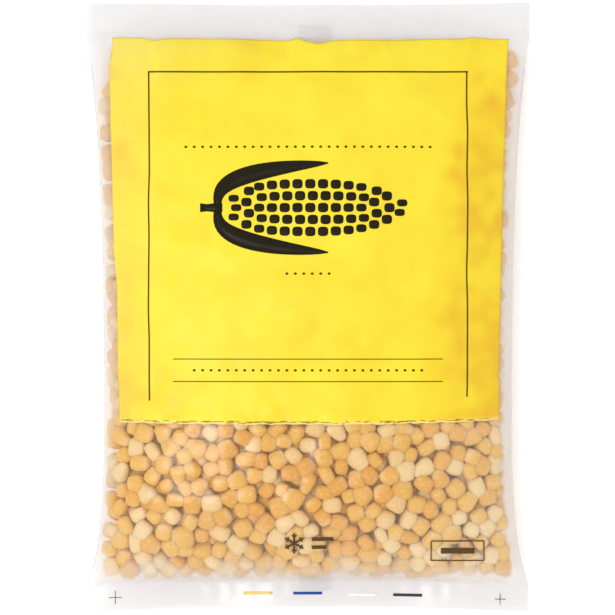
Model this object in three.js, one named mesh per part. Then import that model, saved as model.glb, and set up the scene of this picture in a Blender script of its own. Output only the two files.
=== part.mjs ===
// Frozen vegetable bag: a film pillow pack full of small kernels, lying on its back.
// Millimetres, +Z up, +Y towards the top seal. The origin is the middle of the rest plane.
import * as THREE from "three";

// The bag laid flat and empty
const bagLength = 247.5;
const topSealWidth = 180;
const bottomSealWidth = 178.6;
const topSeal = 14; // depth of the welded band at each end
const bottomSeal = 12;
const finThickness = 1;

// What the filling does to it
const sidePull = 7.3; // how far each side comes in where the bag is fullest
const topEase = 45; // distance over which the top fills out, and the bottom
const bottomEase = 19.7;
const crown = 21; // front face above the side fold
const foldHeight = 11; // side fold above the table
const finHeight = 7; // end fins above the table
const fillSharpness = 0.75; // 1 follows the sides' pull, less fills the ends out
const faceSquareness = 2.6; // shape of a section across the bag
const faceShoulder = 0.7;

// The part of the back that the weight presses flat on the table
const restSide = 0.62; // share of the half width
const restTop = 66;
const restBottom = -80;
const restRim = 0.35; // 0 lets the back leave the table softly, 1 along a straight slope

// Relief on the faces
const kernelPitch = 9;
const kernelRise = 1.6;
const kernelScatter = 0.5; // share of a grid cell in which a kernel may lie
const kernelReach = 6.8; // radius of a bump at its foot
const kernelUnevenness = 0.35;
const swellRise = 0.9; // low, wide lumps in the filling
const swellAcross = 107; // distance between two lumps, across the bag and along it
const swellAlong = 132;
const pleatRise = 1.3;
const pleatReach = 16; // how far the pleats run from a seal
const pleatStart = 4; // where they reach their height
const pleatPitch = 31;
const topBow = 1.1; // how far the middle of each end is drawn in
const bottomBow = 2.1;
const bowFade = 6; // the higher, the nearer to the ends the bow stays
const finWave = 1.2;
const finWavePitch = 74;
const shallowEdge = 4; // body height under which the relief fades out

// Faceting
const frontColumns = 48;
const backColumns = 24;
const sealRows = 3;
const bodyRows = 56;
const edgeCrowding = 0.3; // 0 spreads the columns evenly, 1 gathers them at the side folds

const topWeld = bagLength / 2 - topSeal;
const bottomWeld = -bagLength / 2 + bottomSeal;

// 0 on the seals, rising to about 1 where the bag is full
function rise(y) {
  const fromTop = Math.max(0, topWeld - y);
  const fromBottom = Math.max(0, y - bottomWeld);
  return (1 - Math.exp(-fromTop / topEase)) * (1 - Math.exp(-fromBottom / bottomEase));
}

const fullRise = highestRise();

function highestRise() {
  let highest = 0;
  for (let y = bottomWeld; y < topWeld; y += 1) {
    highest = Math.max(highest, rise(y));
  }
  return highest;
}

function halfWidth(y) {
  const towardsTop = (y + bagLength / 2) / bagLength;
  const flat = THREE.MathUtils.lerp(bottomSealWidth, topSealWidth, towardsTop) / 2;
  return flat - sidePull * rise(y);
}

function fill(y) {
  return Math.pow(rise(y) / fullRise, fillSharpness);
}

// Section across the bag: 1 on the centre line, 0 on the side folds
function lens(side) {
  return Math.pow(1 - Math.pow(Math.abs(side), faceSquareness), faceShoulder);
}

// A repeatable draw from 0 to 1 for a cell of the kernel grid
function draw(column, row, salt) {
  const value = Math.sin(column * 127.1 + row * 311.7 + salt * 74.7) * 43758.5453;
  return value - Math.floor(value);
}

// Where in its cell of the grid a kernel lies, in millimetres
function scattered(cell, chance) {
  return (cell + 0.5 + kernelScatter * (chance - 0.5)) * kernelPitch;
}

// Rounded bumps of kernel size, one in each cell of the grid
function kernelBump(x, y) {
  const column = Math.floor(x / kernelPitch);
  const row = Math.floor(y / kernelPitch);
  let bump = 0;
  for (let i = column - 1; i <= column + 1; i++) {
    for (let j = row - 1; j <= row + 1; j++) {
      const acrossGap = x - scattered(i, draw(i, j, 1));
      const alongGap = y - scattered(j, draw(i, j, 2));
      const far = Math.hypot(acrossGap, alongGap) / kernelReach;
      const height = 1 - kernelUnevenness * draw(i, j, 3);
      bump = Math.max(bump, height * (1 - far * far));
    }
  }
  return kernelRise * bump;
}

function turns(distance, pitch) {
  return (2 * Math.PI * distance) / pitch;
}

function swell(x, y) {
  const across = Math.sin(turns(x, swellAcross) + Math.sin(turns(y, 1.5 * swellAlong)));
  const along = Math.sin(turns(y, swellAlong) + Math.cos(turns(x, 2 * swellAcross)));
  return (swellRise / 2) * (across + along);
}

// Folds that run out of the seals into the faces
function pleat(x, y) {
  const fromTop = Math.max(0, topWeld - y);
  const fromBottom = Math.max(0, y - bottomWeld);
  const near = Math.exp(-fromTop / pleatReach) + Math.exp(-fromBottom / pleatReach);
  const lift = 1 - Math.exp(-Math.min(fromTop, fromBottom) / pleatStart);
  const endTurn = y > 0 ? 0.7 : 2.4;
  const wave = Math.sin(turns(x, pleatPitch) + endTurn);
  const uneven = Math.sin(2 * wave + turns(x, 4.5 * pleatPitch));
  return pleatRise * near * lift * (wave + uneven / 2);
}

// Height of the plane in which front and back meet
function foldLevel(x, y) {
  const full = fill(y);
  const endTurn = y > 0 ? 0.4 : 2.1;
  const wave = finWave * Math.sin(turns(x, finWavePitch) + endTurn);
  return THREE.MathUtils.lerp(finHeight + wave, foldHeight, full);
}

function frontHeight(side, x, y) {
  const section = lens(side);
  const body = crown * fill(y) * section;
  const relief = (kernelBump(x, y) + swell(x, y)) * fill(y) + pleat(x, y);
  const fade = Math.min(1, 2 * section) * Math.min(1, body / shallowEdge);
  return foldLevel(x, y) + finThickness / 2 + body + relief * fade;
}

// Rise of the back from the rim of its flat (0) to the fold or weld (1)
function belly(share) {
  const round = 1 - Math.sqrt(1 - share * share);
  return THREE.MathUtils.lerp(round, Math.pow(share, 1.2), restRim);
}

function beyond(place, rim, limit) {
  return THREE.MathUtils.clamp((place - rim) / (limit - rim), 0, 1);
}

function backHeight(side, x, y) {
  const across = belly(beyond(Math.abs(side), restSide, 1));
  const towardsTop = belly(beyond(y, restTop, topWeld));
  const towardsBottom = belly(beyond(-y, -restBottom, -bottomWeld));
  const above = 1 - (1 - across) * (1 - towardsTop) * (1 - towardsBottom);
  return (foldLevel(x, y) - finThickness / 2) * above;
}

// The ends are drawn in at the middle, which fades out along the bag
function bowed(side, y) {
  const nearEnd = Math.pow(Math.abs(y) / (bagLength / 2), bowFade);
  const inwards = (1 - side * side) * nearEnd;
  return y > 0 ? y - topBow * inwards : y + bottomBow * inwards;
}

function columnSides(count) {
  const sides = [];
  for (let i = 0; i <= count; i++) {
    const even = (2 * i) / count - 1;
    const gathered = Math.sin((even * Math.PI) / 2);
    sides.push(THREE.MathUtils.lerp(even, gathered, edgeCrowding));
  }
  return sides;
}

function rowPlaces() {
  const rows = [];
  for (let i = 0; i < sealRows; i++) {
    rows.push(THREE.MathUtils.lerp(-bagLength / 2, bottomWeld, i / sealRows));
  }
  for (let i = 0; i <= bodyRows; i++) {
    const even = i / bodyRows;
    const gathered = (1 - Math.cos(even * Math.PI)) / 2;
    const share = THREE.MathUtils.lerp(even, gathered, edgeCrowding);
    rows.push(THREE.MathUtils.lerp(bottomWeld, topWeld, share));
  }
  for (let i = 1; i <= sealRows; i++) {
    rows.push(THREE.MathUtils.lerp(topWeld, bagLength / 2, i / sealRows));
  }
  return rows;
}

// One ring of points round the bag: the front from left to right, then the back from right to left
function ringPoints(y, frontSides, backSides) {
  const width = halfWidth(y);
  const points = [];
  for (const side of frontSides) {
    const x = side * width;
    const onFold = Math.abs(side) === 1;
    const z = onFold ? foldLevel(x, y) : frontHeight(side, x, y);
    points.push(x, bowed(side, y), z);
  }
  for (const side of backSides.slice(1, -1).reverse()) {
    const x = side * width;
    points.push(x, bowed(side, y), backHeight(side, x, y));
  }
  return points;
}

// Closes an end ring: two front columns stand over each back column
function capFaces(first, count, flip) {
  const faces = [];
  const stride = frontColumns / backColumns;
  const back = (i) => first + ((count - i) % count);
  const addFace = (a, b, c) => faces.push(...(flip ? [a, c, b] : [a, b, c]));
  for (let i = 0; i < backColumns; i++) {
    const left = first + i * stride;
    const backLeft = i === 0 ? first : back(i);
    const backRight = i === backColumns - 1 ? first + frontColumns : back(i + 1);
    if (backLeft !== left) {
      addFace(left, backLeft, left + 1);
    }
    if (backRight !== left + stride) {
      addFace(left + 1, backRight, left + stride);
    }
    addFace(left + 1, backLeft, backRight);
  }
  return faces;
}

function bagGeometry() {
  const frontSides = columnSides(frontColumns);
  const backSides = columnSides(backColumns);
  const rows = rowPlaces();
  const ringSize = frontColumns + backColumns;
  const positions = rows.flatMap((y) => ringPoints(y, frontSides, backSides));
  const faces = [];
  for (let row = 0; row < rows.length - 1; row++) {
    for (let i = 0; i < ringSize; i++) {
      const here = row * ringSize + i;
      const next = row * ringSize + ((i + 1) % ringSize);
      faces.push(here, next, next + ringSize);
      faces.push(here, next + ringSize, here + ringSize);
    }
  }
  faces.push(...capFaces(0, ringSize, false));
  faces.push(...capFaces((rows.length - 1) * ringSize, ringSize, true));
  const geometry = new THREE.BufferGeometry();
  geometry.setAttribute("position", new THREE.Float32BufferAttribute(positions, 3));
  geometry.setIndex(faces);
  geometry.computeVertexNormals();
  return geometry;
}

const printedFilm = new THREE.MeshStandardMaterial({
  color: 0xf6d85a,
  roughness: 0.35,
  metalness: 0,
});

const bag = new THREE.Mesh(bagGeometry(), printedFilm);
bag.name = "bag";

const group = new THREE.Group();
group.add(bag);

export default group;
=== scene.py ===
import math

import bmesh
import bpy
import numpy as np
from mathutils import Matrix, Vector
from mathutils.bvhtree import BVHTree


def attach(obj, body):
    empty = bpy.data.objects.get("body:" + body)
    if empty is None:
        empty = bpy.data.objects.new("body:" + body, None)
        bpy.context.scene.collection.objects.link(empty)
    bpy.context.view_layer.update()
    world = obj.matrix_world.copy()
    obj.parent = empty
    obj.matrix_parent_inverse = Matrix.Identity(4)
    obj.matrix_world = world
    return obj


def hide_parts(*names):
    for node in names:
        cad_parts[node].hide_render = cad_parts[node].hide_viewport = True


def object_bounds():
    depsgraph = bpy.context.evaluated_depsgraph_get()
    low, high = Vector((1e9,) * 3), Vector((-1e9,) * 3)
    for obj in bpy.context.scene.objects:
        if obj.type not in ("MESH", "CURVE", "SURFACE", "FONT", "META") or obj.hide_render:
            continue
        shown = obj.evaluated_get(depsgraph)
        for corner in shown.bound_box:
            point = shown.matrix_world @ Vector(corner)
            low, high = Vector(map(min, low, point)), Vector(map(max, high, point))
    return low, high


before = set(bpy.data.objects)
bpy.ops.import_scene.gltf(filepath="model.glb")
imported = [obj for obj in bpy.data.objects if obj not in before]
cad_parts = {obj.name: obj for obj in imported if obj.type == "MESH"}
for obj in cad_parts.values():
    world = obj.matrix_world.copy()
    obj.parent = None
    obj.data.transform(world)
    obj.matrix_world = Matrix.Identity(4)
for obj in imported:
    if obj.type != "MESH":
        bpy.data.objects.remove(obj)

# A sealed film bag of frozen sweetcorn, lying on its back. Sizes in the dictionaries are millimetres.
mm = 0.001
cadLow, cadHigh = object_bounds()

bag = {
    "length": (cadHigh.y - cadLow.y) / mm,
    "topWidth": (cadHigh.x - cadLow.x) / mm,
    "bottomWidth": 178.6,
    "topSeal": 14,
    "bottomSeal": 12,
    "pullAtSides": 10,    # the higher, the closer to the side folds the film is drawn in
    "sidePull": 7.3,    # how far each side comes in where the bag is fullest
    "topEase": 45,    # distance over which the top fills out
    "bottomEase": 19.7,
    "crown": 21,    # front face above the side fold
    "foldHeight": 11,
    "finHeight": 7,
    "sharpness": 0.75,
    "squareness": 2.6,
    "shoulder": 0.7,
    "restSide": 0.62,    # the flat on the back
    "restTop": 66,
    "restBottom": -80,
    "restRim": 0.35,
    "restSlope": 1.2,
    "swellRise": 0.9,    # low, wide lumps in the filling
    "swellAcross": 107,
    "swellAlong": 132,
    "swellSway": (1.5, 2),
    "pleatRise": 1.3,    # folds that run out of the seals
    "pleatReach": 16,
    "pleatStart": 4,
    "pleatPitch": 31,
    "pleatDrift": 4.5,
    "pleatTurns": (0.7, 2.4),    # where the wave starts, at the top and at the bottom
    "topBow": 1.1,
    "bottomBow": 2.1,
    "bowFade": 6,
    "finWave": 1.2,
    "finWavePitch": 74,
    "finTurns": (0.4, 2.1),
    "shallowEdge": 4,
    "weldGap": 0.24,    # thickness of the two welded films
}
topWeld = bag["length"] / 2 - bag["topSeal"]
bottomWeld = bag["bottomSeal"] - bag["length"] / 2
flatWidth = bag["topWidth"] / 2
floorGap = 0.02    # between the film and the table


# The bag's form, the same as the solid's

def riseAt(y):
    fromTop = np.maximum(0, topWeld - y)
    fromBottom = np.maximum(0, y - bottomWeld)
    return (1 - np.exp(-fromTop / bag["topEase"])) * (1 - np.exp(-fromBottom / bag["bottomEase"]))


fullRise = riseAt(np.arange(bottomWeld, topWeld, 1.0)).max()


def fillAt(y):
    return (riseAt(y) / fullRise) ** bag["sharpness"]


def flatHalfAt(y):
    towardsTop = y / bag["length"] + 0.5
    return (bag["bottomWidth"] + (bag["topWidth"] - bag["bottomWidth"]) * towardsTop) / 2


def halfWidthAt(y):
    return flatHalfAt(y) - bag["sidePull"] * riseAt(y)


def lensAt(x, y):
    side = np.clip(np.abs(x) / halfWidthAt(y), 0, 1)
    return (1 - side ** bag["squareness"]) ** bag["shoulder"]


def turns(distance, pitch):
    return 2 * math.pi * distance / pitch


def foldAt(x, y):
    wave = bag["finWave"] * np.sin(turns(x, bag["finWavePitch"]) + np.where(y > 0, *bag["finTurns"]))
    fin = bag["finHeight"] + wave
    return fin + (bag["foldHeight"] - fin) * fillAt(y)


def swellAt(x, y):
    slant, sway = bag["swellSway"]
    across = np.sin(turns(x, bag["swellAcross"]) + np.sin(turns(y, slant * bag["swellAlong"])))
    along = np.sin(turns(y, bag["swellAlong"]) + np.cos(turns(x, sway * bag["swellAcross"])))
    return bag["swellRise"] / 2 * (across + along)


def pleatAt(x, y):
    fromTop = np.maximum(0, topWeld - y)
    fromBottom = np.maximum(0, y - bottomWeld)
    near = np.exp(-fromTop / bag["pleatReach"]) + np.exp(-fromBottom / bag["pleatReach"])
    lift = 1 - np.exp(-np.minimum(fromTop, fromBottom) / bag["pleatStart"])
    wave = np.sin(turns(x, bag["pleatPitch"]) + np.where(y > 0, *bag["pleatTurns"]))
    uneven = np.sin(2 * wave + turns(x, bag["pleatDrift"] * bag["pleatPitch"]))
    return bag["pleatRise"] * near * lift * (wave + uneven / 2)


def frontAt(x, y):
    lens = lensAt(x, y)
    body = bag["crown"] * fillAt(y) * lens
    fade = np.minimum(1, 2 * lens) * np.minimum(1, body / bag["shallowEdge"])
    relief = swellAt(x, y) * fillAt(y) + pleatAt(x, y)
    return foldAt(x, y) + bag["weldGap"] / 2 + body + relief * fade


def bellyAt(place, rim, limit):
    share = np.clip((place - rim) / (limit - rim), 0, 1)
    return (1 - bag["restRim"]) * (1 - np.sqrt(1 - share ** 2)) + bag["restRim"] * share ** bag["restSlope"]


def backAt(x, y):
    across = bellyAt(np.abs(x) / halfWidthAt(y), bag["restSide"], 1)
    towardsTop = bellyAt(y, bag["restTop"], topWeld)
    towardsBottom = bellyAt(-y, -bag["restBottom"], -bottomWeld)
    above = 1 - (1 - across) * (1 - towardsTop) * (1 - towardsBottom)
    return (foldAt(x, y) - bag["weldGap"] / 2) * above


# A point of the flat film, p across and q along, and where it lies on the filled bag

def acrossAt(p, q):
    share = p / flatWidth
    pull = bag["sidePull"] * riseAt(q) * np.abs(share) ** bag["pullAtSides"]
    return share * flatHalfAt(q) - pull * np.sign(share)


def alongAt(p, q):
    nearEnd = (np.abs(q) / (bag["length"] / 2)) ** bag["bowFade"] * (1 - (p / flatWidth) ** 2)
    return np.where(q > 0, q - bag["topBow"] * nearEnd, q + bag["bottomBow"] * nearEnd)


# Small helpers for noise, meshes and materials

noiseCells = 64    # the noise repeats after this many pitches


def blend(first, second, share):
    return first + (second - first) * share


def between(table, i, j, nextI, nextJ, s, t):
    near = table[i, j] * (1 - s) + table[nextI, j] * s
    far = table[i, nextJ] * (1 - s) + table[nextI, nextJ] * s
    return near * (1 - t) + far * t


def smoothNoise(x, y, pitch, seed):
    table = np.random.default_rng(seed).uniform(-1, 1, (noiseCells, noiseCells))
    u, v = np.asarray(x) / pitch, np.asarray(y) / pitch
    i, j = np.floor(u).astype(int), np.floor(v).astype(int)
    s, t = u - i, v - j
    s, t = s * s * (3 - 2 * s), t * t * (3 - 2 * t)
    return between(table, i % noiseCells, j % noiseCells, (i + 1) % noiseCells, (j + 1) % noiseCells, s, t)


def easeIn(value, low, high):
    share = np.clip((value - low) / (high - low), 0, 1)
    return share * share * (3 - 2 * share)


def linearColour(code):
    channels = [int(code[i:i + 2], 16) / 255 for i in (1, 3, 5)]
    return [c / 12.92 if c <= 0.04045 else ((c + 0.055) / 1.055) ** 2.4 for c in channels] + [1.0]


def newMaterial(name):
    material = bpy.data.materials.new(name)
    material.use_nodes = True
    material.node_tree.nodes.clear()
    return material


def addNode(material, kind, settings=None, links=None, stops=()):
    node = material.node_tree.nodes.new("ShaderNode" + kind)
    for name, value in (settings or {}).items():
        if isinstance(name, int) or name in node.inputs:
            node.inputs[name].default_value = value
        else:
            setattr(node, name, value)
    for name, socket in (links or {}).items():
        material.node_tree.links.new(socket, node.inputs[name])
    if stops:
        elements = node.color_ramp.elements
        for _ in stops[len(elements):]:
            elements.new(0.5)
        for element, (place, code) in zip(elements, stops):
            element.position = place
            element.color = linearColour(code)
    return node


def finishMaterial(material, shader):
    addNode(material, "OutputMaterial", links={"Surface": shader.outputs[0]})
    return material


def finishPiece(name, mesh, material):
    for polygon in mesh.polygons:
        polygon.use_smooth = True
    mesh.materials.append(material)
    piece = bpy.data.objects.new(name, mesh)
    bpy.context.collection.objects.link(piece)
    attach(piece, "root")
    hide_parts("bag")
    return piece


def meshOf(bm, name):
    mesh = bpy.data.meshes.new(name)
    bm.to_mesh(mesh)
    bm.free()
    return mesh


def pointsOf(mesh):
    points = np.empty(len(mesh.vertices) * 3)
    mesh.vertices.foreach_get("co", points)
    return points.reshape(-1, 3)


def setPoints(mesh, points):
    mesh.vertices.foreach_set("co", np.ascontiguousarray(points, dtype=np.float32).ravel())
    mesh.update()


def pointValues(mesh, name, values):
    attribute = mesh.attributes.new(name, "FLOAT", "POINT")
    attribute.data.foreach_set("value", np.ascontiguousarray(values, dtype=np.float32))


def dividedCube(cuts):
    bm = bmesh.new()
    bmesh.ops.create_cube(bm, size=2)
    bmesh.ops.subdivide_edges(bm, edges=bm.edges[:], cuts=cuts, use_grid_fill=True)
    return bm


def roundedOff(point, power):
    norm = sum(abs(part) ** power for part in point) ** (1 / power)
    return [part / norm for part in point]


# Kernels of frozen sweetcorn, cut from the cob: broad crown, narrower cut end, a germ on one face

kernelForms = [
    {"share": 0.42, "width": 8.0, "depth": 6.2, "length": 7.8, "tip": 0.80, "square": 3.8, "germ": 0.07},
    {"share": 0.16, "width": 7.6, "depth": 5.8, "length": 9.2, "tip": 0.56, "square": 3.2, "germ": 0.10},
    {"share": 0.26, "width": 7.2, "depth": 6.5, "length": 7.2, "tip": 0.88, "square": 3.2, "germ": 0.04},
    {"share": 0.16, "width": 8.6, "depth": 5.7, "length": 8.1, "tip": 0.72, "square": 4.0, "germ": 0.12},
]
kernelMesh = {
    "cuts": 2,
    "crownDent": 0.05,    # shares of the half length
    "cutDent": 0.14,
    "dentSpread": 0.22,
    "bend": 0.08,
    "taper": (-1.05, 0.55),    # where it widens, from -1 at the cut end to 1 at the crown
    "flatTaper": 0.65,    # share of the taper that its depth takes
    "germWidth": 0.42,
    "germPlace": -0.35,
    "germLength": 0.55,
    "pale": (0.15, 0.95),    # where the cut end turns pale
}
packing = {
    "count": 2750,
    "radius": 4.03,    # of the soft ball that takes the room of one kernel
    "spread": 0.12,
    "startRoom": 3,
    "pairReach": 2.4,
    "give": 0.42,    # share of an overlap by which each of the two gives way
    "wallShare": 0.66,    # a kernel lies flatter against the film
    "pull": 0.30,    # how strongly the film gathers the outer ones
    "pullReach": 2.3,
    "outerReach": 1.5,
    "sideRoom": 1.3,
    "leftGap": 0.2,    # empty film beside the filling
    "rightGap": 3.2,
    "rightFull": (76, 94),    # it closes towards the top right corner
    "emptyCorner": 7.5,    # more of it in the top left corner
    "leftEmpty": (84, 96),
    "endGap": 4.0,
    "rimGap": 1.2,
    "weldGap": 1,
    "uneven": 2.2,
    "skin": 0.1,
    "steps": 170,
    "pairEvery": 6,
    "seed": 21,
    "crownOut": 0.34,    # share of the outer kernels that show their crown
    "edgeOut": 0.12,
    "tilt": 0.30,    # tangent of the largest lean against the film
    "deepest": 0.9,    # how far under the film an outer kernel may stay
    "sizeSpread": 0.11,
}


def shapeKernel(form):
    bm = dividedCube(kernelMesh["cuts"])
    for vertex in bm.verts:
        u, v, w = roundedOff(vertex.co, form["square"])
        taper = blend(form["tip"], 1, float(easeIn(w, *kernelMesh["taper"])))
        along = (w - kernelMesh["germPlace"]) / kernelMesh["germLength"]
        germ = math.exp(-(u / kernelMesh["germWidth"]) ** 2 - along ** 2)
        middle = math.exp(-(u * u + v * v) / kernelMesh["dentSpread"])
        if v > 0:
            v -= form["germ"] * germ
        if w > 0:
            w -= kernelMesh["crownDent"] * middle
        else:
            w += kernelMesh["cutDent"] * middle
        v += kernelMesh["bend"] * (1 - w * w)
        vertex.co = (u * taper, v * blend(1, taper, kernelMesh["flatTaper"]), w)
    bm.verts.ensure_lookup_table()
    points = np.array([vertex.co[:] for vertex in bm.verts])
    faces = np.array([[vertex.index for vertex in face.verts] for face in bm.faces])
    bm.free()
    return points, faces, easeIn(-points[:, 2], *kernelMesh["pale"])


def wallAt(points, heightAt, outward):
    x, y, z = points.T
    slopeX = heightAt(x + 0.5, y) - heightAt(x - 0.5, y)    # over a millimetre
    slopeY = heightAt(x, y + 0.5) - heightAt(x, y - 0.5)
    normal = np.stack([-slopeX, -slopeY, np.ones_like(x)], axis=1) * outward
    normal /= np.linalg.norm(normal, axis=1, keepdims=True)
    gap = (heightAt(x, y) - z) * outward * np.abs(normal[:, 2])
    return gap, normal


def closePairs(points, reach):
    flat = points.astype(np.float32)
    squares = (flat ** 2).sum(axis=1)
    distances = squares[:, None] + squares[None, :] - 2 * flat @ flat.T
    first, second = np.nonzero(distances < reach ** 2)
    keep = first < second
    return first[keep], second[keep]


def pushApart(points, radius, pairs):
    first, second = pairs
    apart = points[second] - points[first]
    distance = np.maximum(np.linalg.norm(apart, axis=1), 1e-3)
    overlap = np.maximum(0, radius[first] + radius[second] - distance)
    push = apart / distance[:, None] * (packing["give"] * overlap)[:, None]
    np.add.at(points, second, push)
    np.add.at(points, first, -push)


def keepInside(points, room):
    for heightAt, outward in ((frontAt, 1), (backAt, -1)):
        gap, normal = wallAt(points, heightAt, outward)
        points -= normal * np.maximum(0, room - gap)[:, None]
        near = (gap > room) & (gap < packing["pullReach"] * room)
        points += normal * (packing["pull"] * near * (gap - room))[:, None]
    uneven = packing["uneven"] * np.random.default_rng(packing["seed"] + 3).random(len(points))
    limit = halfWidthAt(points[:, 1]) - packing["sideRoom"] * room - uneven
    rightGap = packing["rightGap"] * (1 - easeIn(points[:, 1], *packing["rightFull"]))
    leftGap = packing["leftGap"] + packing["emptyCorner"] * easeIn(points[:, 1], *packing["leftEmpty"])
    points[:, 0] = np.clip(points[:, 0], leftGap - limit, limit - rightGap)
    end = packing["endGap"] + uneven
    points[:, 1] = np.clip(points[:, 1], bottomWeld + end, topWeld - end)


def pressInside(points):
    x, y, z = points.T
    y = np.clip(y, bottomWeld + packing["weldGap"], topWeld - packing["weldGap"])
    limit = halfWidthAt(y) - packing["rimGap"]
    x = np.clip(x, -limit, limit)
    z = np.clip(z, backAt(x, y) + packing["skin"], frontAt(x, y) - packing["skin"])
    return np.stack([x, y, z], axis=1)


def packKernels():
    chance = np.random.default_rng(packing["seed"])
    points = []
    while len(points) < packing["count"]:
        x = chance.uniform(-flatWidth, flatWidth)
        y = chance.uniform(bottomWeld, topWeld)
        z = chance.uniform(0, bag["foldHeight"] + bag["crown"])
        if backAt(x, y) + packing["startRoom"] < z < frontAt(x, y) - packing["startRoom"]:
            points.append((x, y, z))
    points = np.array(points)
    radius = packing["radius"] * (1 + packing["spread"] * chance.uniform(-1, 1, len(points)))
    for step in range(packing["steps"]):
        if step % packing["pairEvery"] == 0:
            pairs = closePairs(points, packing["pairReach"] * packing["radius"])
        pushApart(points, radius, pairs)
        keepInside(points, packing["wallShare"] * radius)
    return points, radius


def squareTo(vectors, chance):
    other = np.cross(vectors, chance.normal(size=vectors.shape))
    return other / np.linalg.norm(other, axis=1, keepdims=True)


def turnKernels(points, radius, chance):
    frontGap, frontNormal = wallAt(points, frontAt, 1)
    backGap, backNormal = wallAt(points, backAt, -1)
    count = len(points)
    outward = np.where((frontGap < backGap)[:, None], frontNormal, backNormal)
    outer = np.minimum(frontGap, backGap) < packing["outerReach"] * packing["wallShare"] * radius
    leaning = squareTo(outward, chance) * (packing["tilt"] * chance.random(count))[:, None]
    free = chance.normal(size=(count, 3))
    main = np.where(outer[:, None], outward + leaning, free)
    main /= np.linalg.norm(main, axis=1, keepdims=True)
    second = squareTo(main, chance)
    third = np.cross(main, second)
    pick = chance.random(count)
    crownOut = (pick < packing["crownOut"])[:, None]
    edgeOut = ((pick >= packing["crownOut"]) & (pick < packing["crownOut"] + packing["edgeOut"]))[:, None]
    # width, depth and length of each kernel, always a right-handed set
    axisW = np.where(crownOut, main, np.where(edgeOut, third, second))
    axisU = np.where(crownOut, second, np.where(edgeOut, main, third))
    axisV = np.cross(axisW, axisU)
    return np.stack([axisU, axisV, axisW], axis=2), outer, frontGap < backGap


def buildKernels():
    points, radius = packKernels()
    chance = np.random.default_rng(packing["seed"] + 1)
    axes, outer, atFront = turnKernels(points, radius, chance)
    shapes = [shapeKernel(form) for form in kernelForms]
    shares = np.array([form["share"] for form in kernelForms])
    kinds = chance.choice(len(kernelForms), len(points), p=shares / shares.sum())
    grow = 1 + packing["sizeSpread"] * chance.uniform(-1, 1, (len(points), 3))
    grow *= (radius / packing["radius"])[:, None]
    made = []
    for i in range(len(points)):
        form = kernelForms[kinds[i]]
        half = np.array([form["width"], form["depth"], form["length"]]) / 2 * grow[i]
        local, faces, pale = shapes[kinds[i]]
        body = (local * half) @ axes[i].T
        centre = points[i].copy()
        if outer[i]:
            heightAt, outward = (frontAt, 1) if atFront[i] else (backAt, -1)
            gap, normal = wallAt(centre[None, :], heightAt, outward)
            reach = (body @ normal[0]).max()
            centre += normal[0] * (gap[0] - reach - packing["deepest"] * chance.random() ** 2)
        made.append({"centre": centre, "points": pressInside(body + centre), "faces": faces, "pale": pale,
                     "gap": wallAt(centre[None, :], frontAt, 1)[0][0], "tone": chance.random()})
    return made


def joined(chosen):
    starts = np.cumsum([0] + [len(kernel["points"]) for kernel in chosen])
    faces = [kernel["faces"] + start for kernel, start in zip(chosen, starts)]
    return np.vstack([kernel["points"] for kernel in chosen]), np.vstack(faces).tolist()


def treeOf(chosen):
    points, faces = joined(chosen)
    return BVHTree.FromPolygons(points.tolist(), faces)


# Height grids over the bag, which the film is draped on

reliefGrid = {"cell": 0.8, "marginX": 3, "marginY": 2, "castFrom": 80}
gridX = np.arange(-flatWidth - reliefGrid["marginX"], flatWidth + reliefGrid["marginX"], reliefGrid["cell"])
halfLength = bag["length"] / 2 + reliefGrid["marginY"]
gridY = np.arange(-halfLength, halfLength, reliefGrid["cell"])
cellX, cellY = np.meshgrid(gridX, gridY, indexing="ij")


def castGrid(tree, outward):
    far = reliefGrid["castFrom"] * outward
    direction = Vector((0, 0, -outward))
    hits = np.full(cellX.shape, -np.inf * outward)
    for i, x in enumerate(gridX):
        for j, y in enumerate(gridY):
            place = tree.ray_cast(Vector((x, y, far)), direction)[0]
            if place is not None:
                hits[i, j] = place.z
    return hits


def blurred(field, passes):
    for _ in range(passes):
        padded = np.pad(field, 1, mode="edge")
        field = (padded[:-2, 1:-1] + 2 * padded[1:-1, 1:-1] + padded[2:, 1:-1]) / 4
        padded = np.pad(field, 1, mode="edge")
        field = (padded[1:-1, :-2] + 2 * padded[1:-1, 1:-1] + padded[1:-1, 2:]) / 4
    return field


def sampleGrid(field, x, y):
    u = np.clip((x - gridX[0]) / reliefGrid["cell"], 0, len(gridX) - 1.001)    # inside the last cell
    v = np.clip((y - gridY[0]) / reliefGrid["cell"], 0, len(gridY) - 1.001)
    i, j = u.astype(int), v.astype(int)
    return between(field, i, j, i + 1, j + 1, u - i, v - j)


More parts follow.
